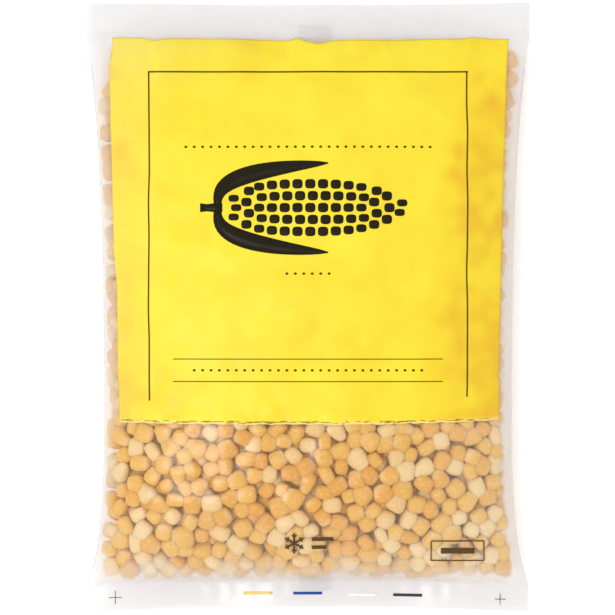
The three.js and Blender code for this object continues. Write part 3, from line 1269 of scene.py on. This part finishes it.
def buildLines():
    bm = bmesh.new()
    width, half = lines["width"], lines["width"] / 2
    for seed, side in ((1, "left"), (2, "right")):
        foot, head = (lines[side], lines[side + "End"]), (lines[side], lines["top"])
        addStrip(bm, foot, head, width, lines["wobble"], seed)
    addStrip(bm, (lines["left"] - half, lines["top"]), (lines["right"] + half, lines["top"]), width)
    for q in (lines["upperRule"], lines["lowerRule"]):
        addStrip(bm, (-lines["ruleHalf"], q), (lines["ruleHalf"], q), lines["ruleWidth"])
    inkPiece("print_frame", bm, lines["ink"], lines["lift"])


buildLines()


# A plain drawing of a cob with two husk leaves
cob = {
    "middle": (4, 40),
    "half": 36,
    "thick": 12,
    "footShape": (3.4, 0.5),    # round at the stalk, and more pointed at the tip
    "tipShape": (2.2, 0.6),
    "rows": 5,
    "rowPitch": 4.4,
    "columns": 14,
    "gap": 0.95,
    "stagger": 0.10,
    "grain": 3.2,    # 2 is an oval, more is squarer
    "foot": 4.5,    # from the cob to where the leaves start
    "huskReach": 0.62,    # share of the cob that the husk still covers
    "huskSteps": 22,
    "huskWidth": 6.4,
    "huskTip": 0.5,
    "huskAway": 4.4,
    "huskRound": 0.62,
    "huskFullness": 0.75,
    "bulgeStart": 0.08,
    "tipAway": 1.6,
    "stalkIn": 2,
    "stalk": (9, 3.6),
    "stalkWidths": [(0, 1), (0.35, 1), (0.7, 0.8), (1, 1)],
    "ink": "#1C1602",
}


def cobHalfAt(share):
    power, root = cob["footShape"] if share < 0 else cob["tipShape"]
    return cob["thick"] * (1 - abs(share) ** power) ** root


def buildCob():
    bm = bmesh.new()
    middleP, middleQ = cob["middle"]
    pitch = 2 * cob["half"] / cob["columns"]
    for column in range(cob["columns"]):
        share = (column + 0.5) / cob["columns"] * 2 - 1
        half = cobHalfAt(share)
        rows = min(cob["rows"], max(1, round(2 * half / cob["rowPitch"])))
        for row in range(rows):
            p = middleP + share * cob["half"] + (cob["stagger"] if row % 2 else -cob["stagger"]) * pitch
            q = middleQ + (row + 0.5) * 2 * half / rows - half
            addPatch(bm, (p, q), (pitch - cob["gap"]) / 2, (2 * half / rows - cob["gap"]) / 2, cob["grain"])
    # two husk leaves hug the cob, each a crescent that starts at the stalk and ends in a free tip
    foot = np.array([middleP - cob["half"] - cob["foot"], middleQ])
    for side in (1, -1):
        path, widths = [], []
        for step in np.linspace(0, 1, cob["huskSteps"]):
            turn = step * math.pi / 2    # a quarter turn from the foot to the side of the cob
            p = foot[0] + 2 * cob["huskReach"] * cob["half"] * (1 - math.cos(turn))
            away = (cob["thick"] + cob["huskAway"]) * math.sin(turn) ** cob["huskRound"]
            path.append(np.array([p, middleQ + side * (away + cob["tipAway"] * step ** 3)]))
            bulge = math.sin(math.pi * min(1, blend(cob["bulgeStart"], 1, step))) ** cob["huskFullness"]
            widths.append(cob["huskTip"] + cob["huskWidth"] * bulge)
        addRibbon(bm, path, widths)
    length, width = cob["stalk"]
    path = [foot + (cob["stalkIn"] - length * share, 0) for share, wide in cob["stalkWidths"]]
    addRibbon(bm, path, [width * wide for share, wide in cob["stalkWidths"]])
    inkPiece("print_cob", bm, cob["ink"], lines["lift"])


buildCob()


# Rows of small dots
dots = {
    "half": 0.62,
    "flat": 0.8,    # their height against their width
    "round": 2.2,
    "pitch": 3.4,
    "rows": [(64.6, 30), (-25.3, 28), (13.5, 6)],    # place and number of dots
    "ink": "#4A3C04",
}


def buildDots():
    bm = bmesh.new()
    for q, count in dots["rows"]:
        for i in range(count):
            p = (i - (count - 1) / 2) * dots["pitch"]
            addPatch(bm, (p, q), dots["half"], dots["half"] * dots["flat"], dots["round"], cells=2)
    inkPiece("print_dots", bm, dots["ink"], lines["lift"])


buildDots()


# Dark dashes along the print's ragged end
edgeDashes = {
    "count": 110,
    "leftRoom": 2,
    "rightRoom": 3,
    "offset": 0.95,
    "scatter": 0.22,
    "length": (0.5, 4.5),
    "half": (0.06, 0.2),
    "turn": 0.05,
    "lift": 0.22,
    "thickness": 0.03,
    "ink": "#9A8222",
    "seed": 33,
}


def buildEdgeDashes():
    bm = bmesh.new()
    chance = np.random.default_rng(edgeDashes["seed"])
    for _ in range(edgeDashes["count"]):
        p = chance.uniform(panel["left"] + edgeDashes["leftRoom"], panel["right"] - edgeDashes["rightRoom"])
        bottom = panelEdges(np.array([p]), np.array([0.0]))[2][0]
        q = bottom + edgeDashes["offset"] + chance.normal() * edgeDashes["scatter"]
        length, half = chance.uniform(*edgeDashes["length"]), chance.uniform(*edgeDashes["half"])
        addPatch(bm, (p, q), length / 2, half, 2, chance.normal() * edgeDashes["turn"], cells=3)
    inkPiece("print_edge_dashes", bm, edgeDashes["ink"], edgeDashes["lift"], edgeDashes["thickness"])


buildEdgeDashes()


# Marks on the clear film: a snowflake, two bars and a box in the window, crosses and bars on the seal
marks = {
    "lift": 0.14,
    "flake": (-5.6, -95.4, 4.3),
    "armWidth": 0.8,
    "twigs": (0.6, 0.3, 0.9),    # where they leave an arm, their length in its reach, and their angle
    "twigWidth": 0.6,
    "twoBars": (6.0, -95.4, 8.8, 3.4),
    "twoBarsWidth": 1.5,
    "box": (61.0, -98.6, 22.0, 8.2),
    "boxLine": 0.5,
    "boxBar": (4, 2.4),    # room at its ends, and its width
    "crosses": [(-78.8, -118.2, 2.7), (78.6, -118.9, 2.3)],
    "crossLine": 0.28,
    "crossInk": "#55504C",
    "bars": [("mark_yellow", -20.5, -117.5, "#E9D27A"), ("mark_blue", -0.1, -117.6, "#2F4A9A"),
             ("mark_white", 22.4, -118.3, "#FFFFFF"), ("mark_grey", 40.8, -118.2, "#3C3C40")],
    "barLength": 11.8,
    "barWidth": 1.25,
    "ink": "#5A4020",
}


def awayFrom(place, distance, angle):
    return place[0] + distance * math.cos(angle), place[1] + distance * math.sin(angle)


def buildMarks():
    bm = bmesh.new()
    p, q, reach = marks["flake"]
    out, long, lean = marks["twigs"]
    for arm in range(6):
        angle = math.pi / 6 + arm * math.pi / 3
        addStrip(bm, (p, q), awayFrom((p, q), reach, angle), marks["armWidth"])
        joint = awayFrom((p, q), out * reach, angle)
        for side in (-lean, lean):
            addStrip(bm, joint, awayFrom(joint, long * reach, angle + side), marks["twigWidth"])
    p, q, width, apart = marks["twoBars"]
    addStrip(bm, (p - width / 2, q + apart / 2), (p + width / 2, q + apart / 2), marks["twoBarsWidth"])
    addStrip(bm, (p - width / 2, q - apart / 2), (p + width / 6, q - apart / 2), marks["twoBarsWidth"])
    p, q, width, height = marks["box"]
    left, right, low, high = p - width / 2, p + width / 2, q - height / 2, q + height / 2
    for start, end in (((left, low), (right, low)), ((left, high), (right, high)),
                       ((left, low), (left, high)), ((right, low), (right, high))):
        addStrip(bm, start, end, marks["boxLine"])
    room, width = marks["boxBar"]
    addStrip(bm, (left + room, q), (right - room, q), width)
    inkPiece("print_window", bm, marks["ink"], marks["lift"])
    bm = bmesh.new()
    for p, q, arm in marks["crosses"]:
        addStrip(bm, (p - arm, q), (p + arm, q), marks["crossLine"])
        addStrip(bm, (p, q - arm), (p, q + arm), marks["crossLine"])
    inkPiece("mark_crosses", bm, marks["crossInk"], marks["lift"])
    for name, p, q, code in marks["bars"]:
        bm = bmesh.new()
        addStrip(bm, (p - marks["barLength"] / 2, q), (p + marks["barLength"] / 2, q), marks["barWidth"])
        inkPiece(name, bm, code, marks["lift"])


buildMarks()
print("print done")


# Floor, light and camera

studio = {
    "floor": "#F8F8F8",
    "floorDrop": 0.2,    # keeps it clear of the film
    "floorGlow": 0.22,    # a light table's, which keeps the ground white beside the bag
    "floorHalf": 4,    # metres, as the lamp's and the camera's places are
    "skyStrength": 0.88,
    "lampPower": 7.0,
    "lampPlace": (-0.5, -0.22, 1.3),
    "lampSize": 0.6,
    "cameraHeight": 1.8,
    "photoWidth": 0.4054 * 615,    # what the whole image takes in at the side folds
    "aside": -0.2,    # the camera's place over the bag, sideways and along
    "along": -0.1,
}


def buildStudio():
    mesh = flatGrid("floor", 2, 2)
    setPoints(mesh, pointsOf(mesh) * studio["floorHalf"])
    floor = bpy.data.objects.new("floor", mesh)
    floor.location.z = -studio["floorDrop"] * mm
    bpy.context.collection.objects.link(floor)
    material = newMaterial("pale paper")
    surface = addNode(material, "BsdfPrincipled",
                      {"Base Color": linearColour(studio["floor"]), "Roughness": 0.9,
                       "Specular IOR Level": 0.0, "Emission Color": (1, 1, 1, 1),
                       "Emission Strength": studio["floorGlow"]})
    mesh.materials.append(finishMaterial(material, surface))

    world = bpy.data.worlds.new("soft sky")
    world.use_nodes = True
    world.node_tree.nodes["Background"].inputs["Color"].default_value = (1, 1, 1, 1)
    world.node_tree.nodes["Background"].inputs["Strength"].default_value = studio["skyStrength"]
    bpy.context.scene.world = world

    lamp = bpy.data.lights.new("soft box", "AREA")
    lamp.shape = "DISK"
    lamp.size = studio["lampSize"]
    lamp.energy = studio["lampPower"]
    box = bpy.data.objects.new("soft box", lamp)
    box.location = studio["lampPlace"]
    box.rotation_euler = (-Vector(studio["lampPlace"])).to_track_quat("-Z", "Y").to_euler()
    bpy.context.collection.objects.link(box)

    lens = bpy.data.cameras.new("camera")
    lens.sensor_width = 36
    reach = studio["cameraHeight"] - bag["foldHeight"] * mm
    lens.lens = lens.sensor_width * reach / (studio["photoWidth"] * mm)
    lens.clip_start, lens.clip_end = 0.05, 20
    camera = bpy.data.objects.new("camera", lens)
    camera.location = (studio["aside"] * mm, studio["along"] * mm, studio["cameraHeight"])
    bpy.context.collection.objects.link(camera)
    bpy.context.scene.camera = camera
    bpy.context.scene.view_settings.view_transform = "Standard"
    bpy.context.scene.view_settings.look = "None"


buildStudio()
